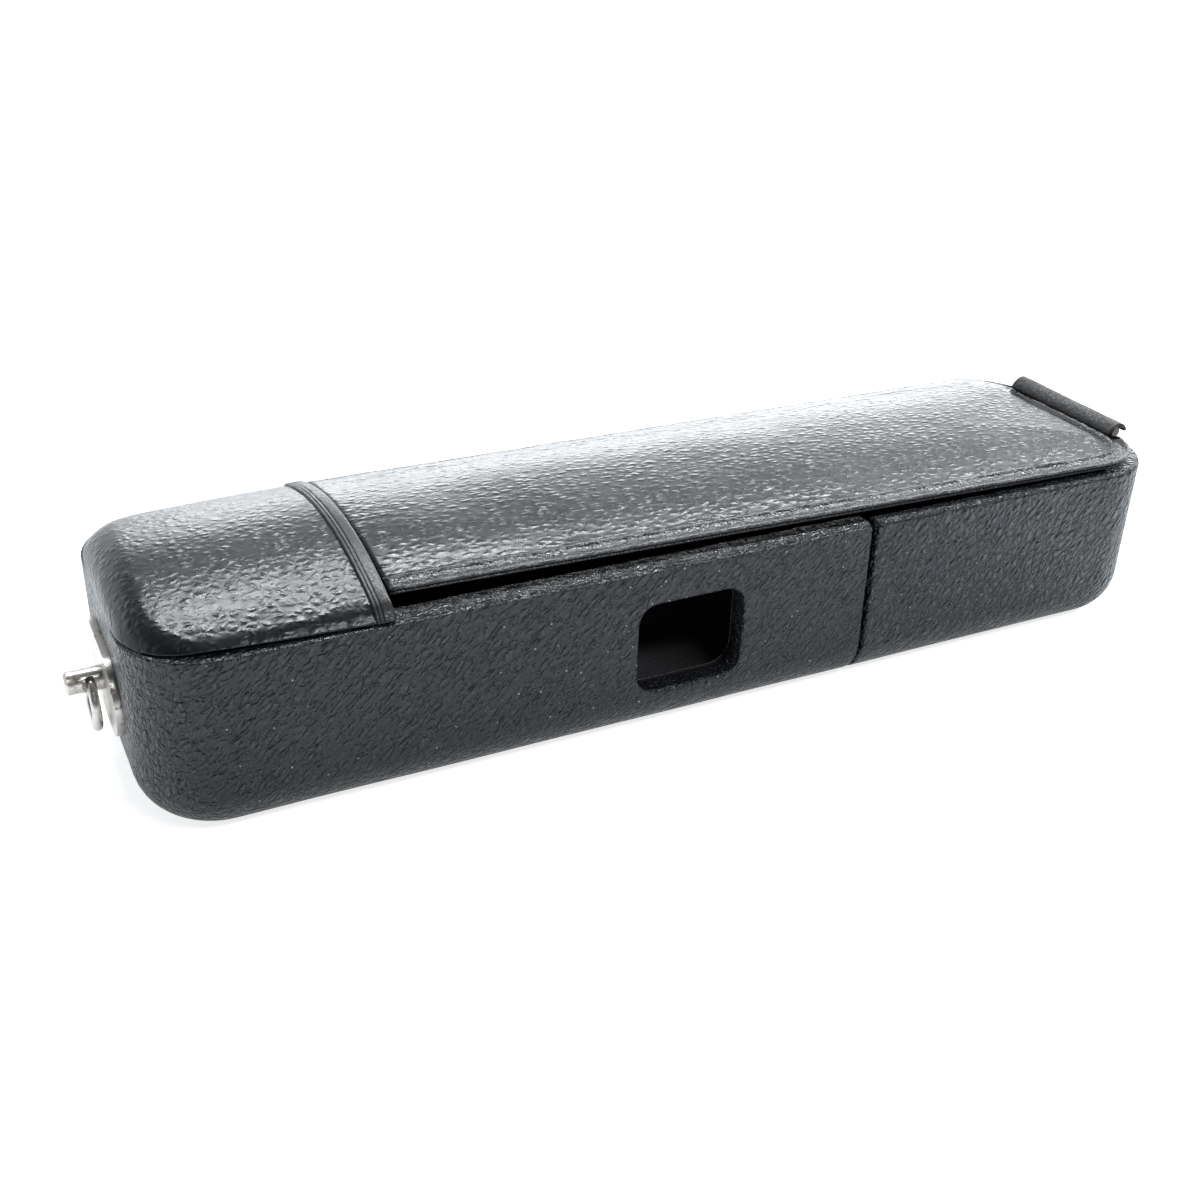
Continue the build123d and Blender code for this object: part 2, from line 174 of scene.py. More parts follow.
world_wire.node(
    "ShaderNodeOutputWorld", None,
    {"Surface": world_wire.node(
        "ShaderNodeBackground", None,
        {"Color": sky_tint, "Strength": sky_level.most(seen_straight)})})


def soft_lamp(name, place, width, height, watts, colour=(1, 1, 1)):
    """A rectangular soft lamp along X that faces the case's middle line."""
    middle_height = 0.012
    data = bpy.data.lights.new(name, "AREA")
    data.shape = "RECTANGLE"
    data.size = width
    data.size_y = height
    data.energy = watts
    data.color = colour
    lamp = bpy.data.objects.new(name, data)
    lamp.location = place
    lamp.rotation_mode = "QUATERNION"
    towards_case = Vector((0, -place[1], middle_height - place[2]))
    lamp.rotation_quaternion = towards_case.to_track_quat("-Z", "Y")
    scene.collection.objects.link(lamp)


soft_lamp("back_light", (0.62, 0.80, 0.15), 1.2, 0.27, 4.0, (0.95, 0.98, 1.0))
soft_lamp("top_light", (0.23, 0.21, 0.40), 0.64, 0.045, 3.4, (0.97, 0.99, 1.0))
soft_lamp("front_light", (0.10, -0.30, 0.34), 0.30, 0.06, 0.9, (0.95, 0.98, 1.0))


# Hinge: a steel pin through five knuckles, a leaf let into the tray's end
# board and a leaf under the lid, each held by two steel rivets. The washer
# that the chain's stud is peened over is of the same steel.
def finish_with(node, material):
    """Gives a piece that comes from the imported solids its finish."""
    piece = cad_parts[node]
    piece.data.materials.clear()
    piece.data.materials.append(material)


def bare_metal(name, colour, roughness, tarnish, tarnish_share):
    """Metal worn by handling, dull and darker where dirt has stayed."""
    material, wire = empty_material(name)
    place = wire.node("ShaderNodeTexCoord", out="Object")
    blotches = wire.node(
        "ShaderNodeTexNoise", None,
        {"Vector": place, "Scale": 620.0, "Detail": 5.0, "Roughness": 0.62}, out="Fac")
    scratches = wire.node(
        "ShaderNodeTexNoise", None,
        {"Vector": wire.node("ShaderNodeMapping", None,
                             {"Vector": place, "Scale": (900.0, 5200.0, 5200.0)}),
         "Scale": 1.0, "Detail": 3.0}, out="Fac")
    dirt = blotches.ramp(0.62 - 0.3 * tarnish_share, 0.74 - 0.1 * tarnish_share)
    tint = wire.node(
        "ShaderNodeMix", {"data_type": "RGBA"},
        {"Factor": dirt, 6: (*colour, 1), 7: (*tarnish, 1)}, out=2)
    relief = wire.node(
        "ShaderNodeBump", None,
        {"Strength": 0.35, "Distance": 0.00004, "Height": scratches * 0.7 + blotches * 0.6})
    shader = wire.node(
        "ShaderNodeBsdfPrincipled", None,
        {"Base Color": tint, "Metallic": 1 - dirt * 0.5,
         "Roughness": scratches * 0.16 + dirt * 0.3 + roughness, "Normal": relief})
    wire.node("ShaderNodeOutputMaterial", None, {"Surface": shader})
    return material


steel = bare_metal("hinge_steel", (0.13, 0.115, 0.10), 0.42, (0.05, 0.035, 0.022), 0.8)
for node in ("hinge_pin", "tray_hinge_leaf", "tray_leaf_rivets", "lid_hinge_leaf",
             "lid_leaf_rivets", "stud_washer"):
    finish_with(node, steel)

# Boards: the moulded fibreboard of both half boxes, the cap and the lid, and
# the neck that the sleeve runs on, all dyed black and waxed.
board, board_wire = empty_material("black_fibreboard")
board_place = board_wire.node("ShaderNodeTexCoord", out="Object")
board_fibres = board_wire.node(
    "ShaderNodeTexNoise", None,
    {"Vector": board_wire.node("ShaderNodeMapping", None,
                               {"Vector": board_place, "Scale": (500.0, 1900.0, 1900.0)}),
     "Scale": 1.0, "Detail": 6.0, "Roughness": 0.65, "Distortion": 0.6}, out="Fac")
board_patches = board_wire.node(
    "ShaderNodeTexNoise", None, {"Vector": board_place, "Scale": 140.0, "Detail": 3.0}, out="Fac")
board_tint = board_wire.node(
    "ShaderNodeMix", {"data_type": "RGBA"},
    {"Factor": board_fibres * 0.6 + board_patches * 0.4,
     6: (0.006, 0.006, 0.007, 1), 7: (0.030, 0.027, 0.024, 1)}, out=2)
board_wire.node(
    "ShaderNodeOutputMaterial", None,
    {"Surface": board_wire.node(
        "ShaderNodeBsdfPrincipled", None,
        {"Base Color": board_tint, "Roughness": board_fibres * 0.25 + 0.55,
         "Specular IOR Level": 0.3,
         "Normal": board_wire.node(
             "ShaderNodeBump", None,
             {"Strength": 0.5, "Distance": 0.00006, "Height": board_fibres})})})
for node in ("tray_board", "tray_neck", "sleeve_board", "cap_board", "lid_board"):
    finish_with(node, board)


# Leather: goatskin dyed black and glazed, with a pebbled grain that was
# pulled along a diagonal where the skin is stretched over the walls.
def leather(name, pebble, relief, grain=1.0, plump=0.0, creases=0.0, rim_highlight=0.0, pitted=0.04,
            slant=0.0, stretch=1.0, gloss=0.34, specks=0.0, tint=(0.011, 0.012, 0.015), wear=0.3):
    """Black leather. pebble is a grain's size and relief its height, both in mm.

    grain is how much of the pebbles is left standing, and plump how round they
    are rather than flat on top. creases is the depth of the short drawn lines and
    pitted that of the pores, both against relief. The hollows and creases are
    painted darker as shade. rims is how pale the grains' edges are painted, as a
    painted highlight, wear how pale their tops are, and specks the size of lint.
    slant is the pull's angle in degrees, and stretch how far it draws the grain."""
    material, wire = empty_material(name)
    place = wire.node("ShaderNodeTexCoord", out="Object")
    turned = wire.node(
        "ShaderNodeMapping", None, {"Vector": place, "Rotation": (0.0, math.radians(slant), 0.0)})
    pulled = wire.node(
        "ShaderNodeMapping", None,
        {"Vector": turned, "Scale": (1000.0 / pebble / stretch, 1000.0 / pebble, 1000.0 / pebble)})
    bend = wire.node(
        "ShaderNodeTexNoise", None, {"Vector": pulled, "Scale": 0.8, "Detail": 2.0}, out="Color")
    grown = wire.node(
        "ShaderNodeVectorMath", {"operation": "MULTIPLY_ADD"},
        {0: bend, 1: (0.9, 0.9, 0.9), 2: pulled})
    seams = wire.node(
        "ShaderNodeTexVoronoi", {"feature": "DISTANCE_TO_EDGE"},
        {"Vector": grown, "Scale": 1.0, "Randomness": 1.0}, out="Distance")
    domes = wire.node(
        "ShaderNodeTexVoronoi", {"feature": "SMOOTH_F1"},
        {"Vector": grown, "Scale": 1.0, "Smoothness": 0.6, "Randomness": 1.0}, out="Distance")
    lumps = wire.node(
        "ShaderNodeTexNoise", None, {"Vector": grown, "Scale": 0.75, "Detail": 1.5}, out="Fac")
    swell = wire.node(
        "ShaderNodeTexNoise", None, {"Vector": place, "Scale": 300.0, "Detail": 3.0}, out="Fac")
    pores = wire.node(
        "ShaderNodeTexNoise", None,
        {"Vector": place, "Scale": 5200.0, "Detail": 3.0, "Roughness": 0.6}, out="Fac")
    patch = wire.node(
        "ShaderNodeTexNoise", None, {"Vector": place, "Scale": 75.0, "Detail": 2.0}, out="Fac")
    height = seams.ramp(0.0, 0.30 + 0.40 * plump) * 0.34 + lumps * 0.55
    height = (height + (1 - domes * 1.1).most(0.0) * 0.36) * (swell + 0.5)
    surface = height * grain + pores * pitted
    # Painted shade: the hollows between the grains are painted darker, as shade would fall in them;
    # the same mask also makes them rougher.
    shaded_hollow = (1 - height.ramp(0.15, 0.85)) * grain
    if creases:
        drawn = wire.node(
            "ShaderNodeMapping", None, {"Vector": turned, "Scale": (520.0, 1500.0, 1500.0)})
        drawn = wire.node(
            "ShaderNodeVectorMath", {"operation": "MULTIPLY_ADD"},
            {0: bend, 1: (0.45, 0.45, 0.45), 2: drawn})
        folds = wire.node(
            "ShaderNodeTexVoronoi", {"feature": "DISTANCE_TO_EDGE"},
            {"Vector": drawn, "Scale": 1.0, "Randomness": 1.0}, out="Distance")
        cuts = (1 - folds.ramp(0.0, 0.16)) * lumps.ramp(0.46, 0.62)
        surface = surface - cuts * creases
        # The drawn creases are painted darker too, as painted shade.
        shaded_hollow = shaded_hollow.most(cuts * 0.8)
    worn = (height - 0.62).most(0.0) * 1.8 * patch.ramp(0.4, 0.7) * (wear * grain)
    # Colour of the painted shade in the hollows and creases.
    painted_hollow_shade = (tint[0] * 0.3, tint[1] * 0.3, tint[2] * 0.4, 1)
    pale = (tint[0] * 1.9, tint[1] * 1.9, tint[2] * 1.9, 1)
    base = wire.node(
        "ShaderNodeMix", {"data_type": "RGBA"}, {"Factor": shaded_hollow, 6: (*tint, 1), 7: painted_hollow_shade}, out=2)
    base = wire.node(
        "ShaderNodeMix", {"data_type": "RGBA"}, {"Factor": worn, 6: base, 7: pale}, out=2)
    # Painted highlight: the grains' edges are painted paler, as if light caught them.
    if rim_highlight:
        painted_rim_highlight = seams.ramp(0.03, 0.14) * (1 - seams.ramp(0.16, 0.42)) * lumps.ramp(0.42, 0.62)
        base = wire.node(
            "ShaderNodeMix", {"data_type": "RGBA"},
            {"Factor": painted_rim_highlight * rim_highlight, 6: base,
             7: (tint[0] * 3.6, tint[1] * 3.6, tint[2] * 3.4, 1)}, out=2)
    rough = patch * 0.10 + pores * 0.10 + shaded_hollow * (0.22 - 0.16 * plump) + (gloss - 0.12)
    if specks:
        dust = wire.node(
            "ShaderNodeTexVoronoi", {"feature": "F1"},
            {"Vector": place, "Scale": 600.0, "Randomness": 1.0}, out="Distance")
        lint = 1 - dust.ramp(specks * 0.36, specks * 0.6)
        base = wire.node(
            "ShaderNodeMix", {"data_type": "RGBA"},
            {"Factor": lint, 6: base, 7: (0.55, 0.55, 0.57, 1)}, out=2)
        rough = rough + lint * 0.4
    bump = wire.node(
        "ShaderNodeBump", None,
        {"Strength": 1.0, "Distance": relief * mm, "Height": surface})
    shader = wire.node(
        "ShaderNodeBsdfPrincipled", None,
        {"Base Color": base, "Roughness": rough, "Normal": bump, "Specular IOR Level": 0.5})
    wire.node("ShaderNodeOutputMaterial", None, {"Surface": shader})
    return material


# Tray leather: one skin over the half box at the hinge end, glued to the
# board, turned over its top edge and round its free mouth.
body_length, body_width, corner_r, base_r = 128.0, 35.0, 8.7, 5.7
half_length, half_width = body_length / 2, body_width / 2
spine_end_x, wall_from_y = -46.5, 12
board_face, column_step = 0.93, 0.75
mouth_turn_in, mouth_zone, mouth_lean = 0.8, 0.6, 0.22


def made_piece(name, bm, *materials):
    """An object from a mesh that was built in millimetres, smooth all over."""
    same_place = 0.002
    bmesh.ops.remove_doubles(bm, verts=bm.verts, dist=same_place)
    bmesh.ops.recalc_face_normals(bm, faces=bm.faces)
    bmesh.ops.scale(bm, vec=(mm, mm, mm), verts=bm.verts)
    for face in bm.faces:
        face.smooth = True
    mesh = bpy.data.meshes.new(name)
    bm.to_mesh(mesh)
    bm.free()
    for material in materials:
        mesh.materials.append(material)
    piece = bpy.data.objects.new(name, mesh)
    scene.collection.objects.link(piece)
    return piece


def wander(place, size, amount, seed=0.0):
    """A smooth random push for a place in mm, the same in every run."""
    at = Vector((place[0] / size + seed, place[1] / size, place[2] / size))
    return amount * noise.noise(at)


def plan_columns(mouth_x, step, rounding):
    """Columns round a half box from its mouth, past the corners at -X, and back.

    Each is (x, y of the corner's centre, outward x, outward y, how far the mouth's
    rounded edge draws the skin in)."""
    side = []
    for turn in np.linspace(90, 0, 6) if rounding else (0,):
        a = math.radians(turn)
        side.append((mouth_x - rounding + rounding * math.sin(a), rounding * (1 - math.cos(a))))
    corner_x = corner_r - half_length
    count = max(2, round((mouth_x - rounding - corner_x) / step))
    for x in np.linspace(mouth_x - rounding, corner_x, count + 1)[1:]:
        side.append((x, 0.0))
    side_y = half_width - corner_r
    columns = [(x, -side_y, 0.0, -1.0, drawn) for x, drawn in side]
    turns = [math.radians(t) for t in np.linspace(0, 90, 15)[1:]]
    columns += [(corner_x, -side_y, -math.sin(a), -math.cos(a), 0.0) for a in turns]
    across = max(2, round(2 * side_y / step))
    columns += [(corner_x, y, -1.0, 0.0, 0.0) for y in np.linspace(-side_y, side_y, across + 1)[1:]]
    columns += [(corner_x, side_y, -math.cos(a), math.sin(a), 0.0) for a in turns]
    columns += [(x, side_y, 0.0, 1.0, drawn) for x, drawn in reversed(side[:-1])]
    return columns


def wall_profile(inset, top, rim):
    """Depths and heights from the underside's middle, round the base and up to the rim."""
    profile = [("under", t) for t in np.linspace(0, 1, 8)[:-1]]
    for turn in np.linspace(0, 90, 11):
        a = math.radians(turn)
        r = base_r - inset
        profile.append((base_r - r * math.sin(a), base_r - r * math.cos(a)))
    for z in np.linspace(base_r, top, 30)[1:]:
        profile.append((inset, z))
    return profile + list(rim)


def column_places(column, profile, inset):
    """The points of one column, from the underside's middle line to the rim."""
    x, y, out_x, out_y, _ = column
    foot = np.array((x + out_x * (corner_r - base_r), y + out_y * (corner_r - base_r), inset))
    spine = np.array((max(x, spine_end_x), 0.0, inset))
    places = []
    for depth, height in profile:
        if depth == "under":
            places.append(spine + (foot - spine) * height)
        else:
            reach = corner_r - depth
            places.append(np.array((x + out_x * reach, y + out_y * reach, height)))
    return places


def skin_grid(columns, rim_of, wall_top, turned_depth, mouth_x):
    """Outer and inner points of a leather half box, columns by rows."""
    rim_thickness, board_drop, eased_depth = 0.25, 0.6, 1.5
    grid = []
    for column in columns:
        drawn = column[4]
        rim = [(depth + drawn * max(0.0, 1 - depth / eased_depth), z - drawn)
               for depth, z in rim_of(column)]
        outer = wall_profile(drawn, wall_top - drawn, rim)
        inset = turned_depth if column[0] > mouth_x - mouth_turn_in else board_face
        last_depth, last_z = rim[-1]
        inner_top = wall_top - board_drop
        inner_rim = []
        for t in np.linspace(0, 1, len(rim) + 1)[1:]:
            inner_rim.append((inset + (last_depth - rim_thickness - inset) * t,
                              inner_top + (last_z - rim_thickness - inner_top) * t))
        inner = wall_profile(inset, inner_top, inner_rim)
        places = column_places(column, outer, drawn)
        places += reversed(column_places(column, inner, inset))
        grid.append(places)
    return np.array(grid)


def grid_faces(bm, verts, left_out=()):
    """Faces between the columns of a grid of points, each with its column and row."""
    made = []
    for i in range(len(verts) - 1):
        for j in range(len(verts[0]) - 1):
            if (i, j) not in left_out:
                made.append((i, j, bm.faces.new(
                    (verts[i][j], verts[i + 1][j], verts[i + 1][j + 1], verts[i][j + 1]))))
    return made


def skin_faces(bm, grid, left_out=(), rim_from=1000, rim_beyond=0.0):
    """Faces of a half box's skin, its mouth closed, and faces in left_out missing.

    The outer rows from rim_from up, past rim_beyond in X, take the third finish."""
    columns, rows = grid.shape[:2]
    verts = [[bm.verts.new(place) for place in column] for column in grid]
    for i, j, face in grid_faces(bm, verts, left_out):
        on_rim = rim_from <= j < rows // 2 and grid[i][0][0] > rim_beyond
        face.material_index = 2 if on_rim else 0
    for column in (verts[0], verts[columns - 1]):
        for j in range(rows // 2 - 1):
            bm.faces.new((column[j], column[j + 1], column[rows - 2 - j], column[rows - 1 - j]))
    return verts


tray_top, tray_mouth_x, tray_mouth_r = 21.3, 19.3, 0.3
tray_wall_top, tray_turned_depth = 20.75, 2.12
tray_rim = [(0.0, 20.86), (0.05, 20.93), (0.11, 20.97), (0.12, 21.02), (0.08, 21.07),
            (0.10, 21.16), (0.2, 21.25), (0.42, 21.3), (0.8, 21.3), (1.2, 21.29), (1.6, 21.28),
            (1.95, 21.22), (2.1, 21.1), (2.12, 20.9)]
barrel_notch_z, barrel_notch_half = 21.03, 9.7


def tray_rim_of(column):
    """The tray's rim, cut down where the hinge's barrel passes over the end wall."""
    at_barrel = column[0] < 0.0 and column[2] == -1.0 and abs(column[1]) <= barrel_notch_half
    if at_barrel:
        return [(depth, min(z, barrel_notch_z)) for depth, z in tray_rim]
    return tray_rim


tray_grid = skin_grid(plan_columns(-tray_mouth_x, column_step, tray_mouth_r), tray_rim_of,
                      tray_wall_top, tray_turned_depth, -tray_mouth_x)
for column in tray_grid:
    for place in column[: len(column) // 2]:
        outward = np.array((0.0, np.sign(place[1]) if abs(place[1]) > wall_from_y else 0.0, 0.0))
        place += outward * (wander(place, 14.0, 0.10) - 0.05)
        if place[0] > -tray_mouth_x - mouth_zone:
            place[0] -= mouth_lean * place[2] / tray_top
tray_grid[:, :, 0] *= -1
tray_bm = bmesh.new()
skin_faces(tray_bm, tray_grid)
tray_hide = leather("tray_hide", 0.84, 0.48, creases=0.3, rim_highlight=1.0, pitted=0.05, slant=52.0,
                    stretch=1.6, gloss=0.24, specks=0.10, tint=(0.013, 0.0165, 0.0205), wear=0.0)
tray_skin = made_piece("tray_skin", tray_bm, tray_hide)
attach(tray_skin, "tray")
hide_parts("tray_leather")


# Sleeve leather: the same skin over the half box at the chain end. Its top
# edge is rolled inwards over the neck, and it is cut away for the window.
sleeve_top, sleeve_mouth_x, sleeve_mouth_r = 21.0, 18.8, 0.32
sleeve_wall_top, sleeve_turned_depth, sleeve_mouth_out = 20.72, 1.93, 0.10
window_x, window_z, window_length, window_height, window_r = -4.5, 11.42, 13.2, 10.95, 2.3
cap_mouth_x, band_width = -38.2, 2.0
sleeve_rim = [(0.0, 20.80), (0.03, 20.90), (0.10, 20.97), (0.19, 20.96), (0.26, 20.90),
              (0.33, 21.02), (0.48, 21.14), (0.8, 21.27), (1.2, 21.35), (1.7, 21.38),
              (2.2, 21.36), (2.7, 21.28), (3.05, 21.12), (3.2, 20.9), (3.15, 20.65)]


def sleeve_rim_of(column):
    """The sleeve's rolled rim, pressed flat where the cap sits on it."""
    under_cap_x, pressed_z = cap_mouth_x - 0.4, 20.97
    if column[0] < under_cap_x:
        return [(depth, min(z, pressed_z)) for depth, z in sleeve_rim]
    return sleeve_rim


def rounded_reach(dx, dz, half_x, half_z, r):
    """How far a rounded rectangle's outline is from its middle, in the direction dx, dz."""
    reach = min(half_x / max(abs(dx), 1e-9), half_z / max(abs(dz), 1e-9))
    core_x, core_z = half_x - r, half_z - r
    if abs(dx) * reach > core_x and abs(dz) * reach > core_z:
        along = abs(dx) * core_x + abs(dz) * core_z
        reach = along + math.sqrt(max(0.0, along**2 - core_x**2 - core_z**2 + r**2))
    return reach


def rounded_window(angle, grown):
    """The window's outline from its middle at that angle, grown outwards by some mm."""
    dx, dz = math.cos(angle), math.sin(angle)
    reach = rounded_reach(dx, dz, window_length / 2 + grown, window_height / 2 + grown,
                          window_r + grown)
    return dx * reach, dz * reach


sleeve_columns = plan_columns(sleeve_mouth_x, column_step, sleeve_mouth_r)
sleeve_grid = skin_grid(sleeve_columns, sleeve_rim_of, sleeve_wall_top, sleeve_turned_depth,
                        sleeve_mouth_x)
sleeve_rows = sleeve_grid.shape[1]
still_reach, still_fade, margin_x, margin_z = 8.5, 4, 1.6, 1.1
for column in sleeve_grid:
    for j, place in enumerate(column[: sleeve_rows // 2]):
        side = np.sign(place[1]) if abs(place[1]) > wall_from_y else 0.0
        from_window = math.hypot(place[0] - window_x, place[2] - window_z)
        away = min(1.0, max(0.0, (from_window - still_reach) / still_fade))
        if place[1] > 0:
            away = 1.0
        place[1] += side * (wander(place, 16.0, 0.12, 7.3) - 0.06) * away
        if place[2] > sleeve_top:
            place[2] += wander(place, 2.2, 0.10, 3.1) + wander(place, 0.8, 0.05, 5.0)
        if place[0] > sleeve_mouth_x - mouth_zone:
            place[0] += sleeve_mouth_out - mouth_lean * place[2] / sleeve_top
sleeve_bm = bmesh.new()
columns_in = [i for i in range(len(sleeve_columns)) if sleeve_columns[i][3] == -1.0
              and window_x - window_length / 2 - margin_x < sleeve_grid[i][0][0]
              < window_x + window_length / 2 + margin_x]
first_column, last_column = min(columns_in), max(columns_in)
window_rows = [j for j in range(8, sleeve_rows // 2)
               if window_z - window_height / 2 - margin_z < sleeve_grid[first_column][j][2]
               < window_z + window_height / 2 + margin_z]
first_row, last_row = min(window_rows), max(window_rows)
blocks = ((first_row, last_row), (sleeve_rows - 1 - last_row, sleeve_rows - 1 - first_row))
missing = {(i, j) for low, high in blocks
           for i in range(first_column, last_column) for j in range(low, high)}
rolled_row = 51
sleeve_verts = skin_faces(sleeve_bm, sleeve_grid, missing, rolled_row, cap_mouth_x)
rings = []
for low, high in blocks:
    loop = [(i, low) for i in range(first_column, last_column)]
    loop += [(last_column, j) for j in range(low, high)]
    loop += [(i, high) for i in range(last_column, first_column, -1)]
    loop += [(first_column, j) for j in range(high, low, -1)]
    if low != first_row:
        loop = [(i, low + high - j) for i, j in loop]
    rings.append(loop)


def window_ring(loop, grown, depth, rough=0.0):
    """Points of the window's outline that face a block's border, at a depth in the wall."""
    made = []
    for i, j in loop:
        edge = sleeve_grid[i][j]
        angle = math.atan2(edge[2] - window_z, edge[0] - window_x)
        x, z = rounded_window(angle, grown)
        spot = (window_x + x, depth * 3, window_z + z)
        push = wander(spot, 0.55, rough, 2.0) + wander(spot, 1.7, rough * 0.8, 9.0)
        x, z = rounded_window(angle, grown + push)
        made.append(np.array((window_x + x, depth - half_width, window_z + z)))
    return made


def joined_rings(bm, rings):
    """Faces between each closed ring of points and the next, a list for each pair."""
    strips = []
    for near, far in zip(rings, rings[1:]):
        count = len(near)
        strips.append([bm.faces.new((near[a], near[(a + 1) % count], far[(a + 1) % count], far[a]))
                       for a in range(count)])
    return strips


outer_loop, inner_loop = rings
border = [sleeve_grid[i][j] for i, j in outer_loop]
lip = window_ring(outer_loop, 0.35, 0.0)
layers = [[a + (b - a) * t for a, b in zip(border, lip)] for t in (0.35, 0.7)]
layers += [lip, window_ring(outer_loop, 0.14, 0.03), window_ring(outer_loop, 0.02, 0.14, 0.02)]
layers += [window_ring(outer_loop, grown, depth, 0.09) for grown, depth in
           ((-0.03, 0.35), (-0.08, 0.6), (-0.05, 0.85), (-0.16, 1.1), (-0.12, 1.4), (-0.2, 1.7))]
layers += [window_ring(outer_loop, -0.18, 1.9), window_ring(outer_loop, -0.05, 1.93),
           window_ring(outer_loop, -0.03, 1.6), window_ring(outer_loop, 0.2, board_face)]
ring_verts = [[sleeve_verts[i][j] for i, j in outer_loop]]
for layer in layers:
    ring_verts.append([sleeve_bm.verts.new(place) for place in layer])
ring_verts.append([sleeve_verts[i][j] for i, j in inner_loop])
first_cut, last_cut = 5, len(ring_verts) - 4
for k, strip in enumerate(joined_rings(sleeve_bm, ring_verts)):
    for face in strip:
        face.material_index = 1 if first_cut <= k <= last_cut else 0
sleeve_hide = leather("sleeve_hide", 0.68, 0.28, grain=0.8, creases=0.9, rim_highlight=1.0, pitted=0.07,
                      slant=48.0, stretch=1.7, gloss=0.26, specks=0.12,
                      tint=(0.010, 0.0125, 0.0155), wear=0.0)
cut_edge = leather("cut_edge", 0.38, 0.16, gloss=0.30, tint=(0.010, 0.011, 0.016), wear=1.0)
ledge_hide = leather("ledge_hide", 0.44, 0.26, rim_highlight=1.0, slant=30.0, stretch=2.4, gloss=0.20,
                     tint=(0.020, 0.021, 0.022), wear=1.5)
sleeve_skin = made_piece("sleeve_skin", sleeve_bm, sleeve_hide, cut_edge, ledge_hide)
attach(sleeve_skin, "sleeve")
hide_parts("sleeve_leather")


# Cap leather: wet-moulded over the crowned board at the chain end, its edge
# tucked down into the seam on the sleeve's wall.
crown_top, crown_drop, seam_z = 25.5, 3.66, 20.98
cap_fall, cap_length = 0.9, 25.8
crown_radius = (half_width**2 + crown_drop**2) / (2 * crown_drop)


def crown_z(x, y):
    """Height of the cap's crown, as if it ran out to the walls with no shoulder."""
    over = crown_radius - math.sqrt(crown_radius**2 - min(abs(y), half_width) ** 2)
    return crown_top - over - cap_fall * (cap_mouth_x - x) / cap_length


def cap_column(x, y, out_x, out_y, lift, rows=26):
    """Points of the cap from the seam over its shoulder to its middle line.

    The shoulder is broader and deeper round the closed end than along the sides."""
    end = out_x * out_x
    reach = 2.3 + 1.5 * end
    drop = 2.35 + 1.35 * end
    edge = np.array((x + out_x * corner_r, y + out_y * corner_r))
    inward = np.array((-out_x, -out_y))
    at_wall = crown_z(*edge)
    start = math.asin(min(0.97, max(0.0, 1 - (at_wall - seam_z) / drop)))
    places = []
    for angle in np.linspace(start, math.pi / 2, 14):
        depth = reach * (1 - math.cos(angle))
        spot = edge + inward * depth
        z = crown_z(*spot) - drop * (1 - math.sin(angle))
        places.append(np.array((spot[0], spot[1], z)))
    last = edge + inward * reach
    spine = np.array((max(x, spine_end_x), 0.0))
    for t in np.linspace(0, 1, rows)[1:]:
        spot = last + (spine - last) * t
        places.append(np.array((spot[0], spot[1], crown_z(*spot))))
    lifted = []
    for k, place in enumerate(places):
        before, after = places[max(0, k - 1)], places[min(len(places) - 1, k + 1)]
        run = after - before
        flat = np.array((out_x, out_y, 0.0))
        across = run @ flat
        n = flat * run[2] + np.array((0.0, 0.0, 1.0)) * -across
        n = n / (np.linalg.norm(n) or 1.0)
        lifted.append(place + n * lift)
    return lifted


def thicken(piece, thickness, offset=-1):
    """Gives a surface its thickness in mm, all of it inwards, or half where offset is 0."""
    weight = piece.modifiers.new("thickness", "SOLIDIFY")
    weight.thickness = thickness * mm
    weight.offset = offset


under_band, tuck_depth, tuck_share = 0.35, 0.25, 0.985
cap_columns = plan_columns(cap_mouth_x - band_width + under_band, 0.7, 0)
cap_grid = np.array([cap_column(*c[:4], 0.0) for c in cap_columns])
for column in cap_grid:
    for place in column:
        place[2] += wander(place, 11.0, 0.12, 4.4) * min(1.0, max(0.0, place[2] - seam_z) / 2)
tuck = cap_grid[:, 0, :].copy()
tuck[:, 2] -= tuck_depth
tuck[:, 1] *= tuck_share
cap_grid = np.concatenate([tuck[:, None, :], cap_grid], axis=1)
cap_bm = bmesh.new()
cap_verts = [[cap_bm.verts.new(place) for place in column] for column in cap_grid]
grid_faces(cap_bm, cap_verts)
cap_hide = leather("cap_hide", 0.92, 0.115, plump=0.75, pitted=0.03, slant=12.0, stretch=1.1,
                   gloss=0.27, specks=0.06)
cap_skin = made_piece("cap_skin", cap_bm, cap_hide)
thicken(cap_skin, 0.8)
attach(cap_skin, "sleeve")
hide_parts("cap_leather")


# Cap band: a strip of thin smooth leather glued round the cap's free edge,
# creased twice with a bone tool and turned in over the board.
band_loop = [(-2.05, -0.25), (-2.03, 0.02), (-1.97, 0.12), (-1.86, 0.17), (-1.76, 0.14),
             (-1.70, 0.06), (-1.64, 0.14), (-1.52, 0.19), (-1.36, 0.17), (-1.30, 0.09),
             (-1.24, 0.17), (-1.05, 0.2), (-0.7, 0.2), (-0.3, 0.2), (-0.14, 0.17), (-0.04, 0.09),
             (0.0, -0.05), (0.0, -0.5), (0.0, -1.2), (-0.02, -1.8), (-0.2, -1.95), (-0.55, -1.95),
             (-0.58, -0.95), (-1.2, -0.9)]
band_line = cap_column(cap_mouth_x, -(half_width - corner_r), 0.0, -1.0, 0.0, rows=22)
band_line += [place * np.array((1, -1, 1)) for place in reversed(band_line[:-1])]
band_bm = bmesh.new()
band_verts = []
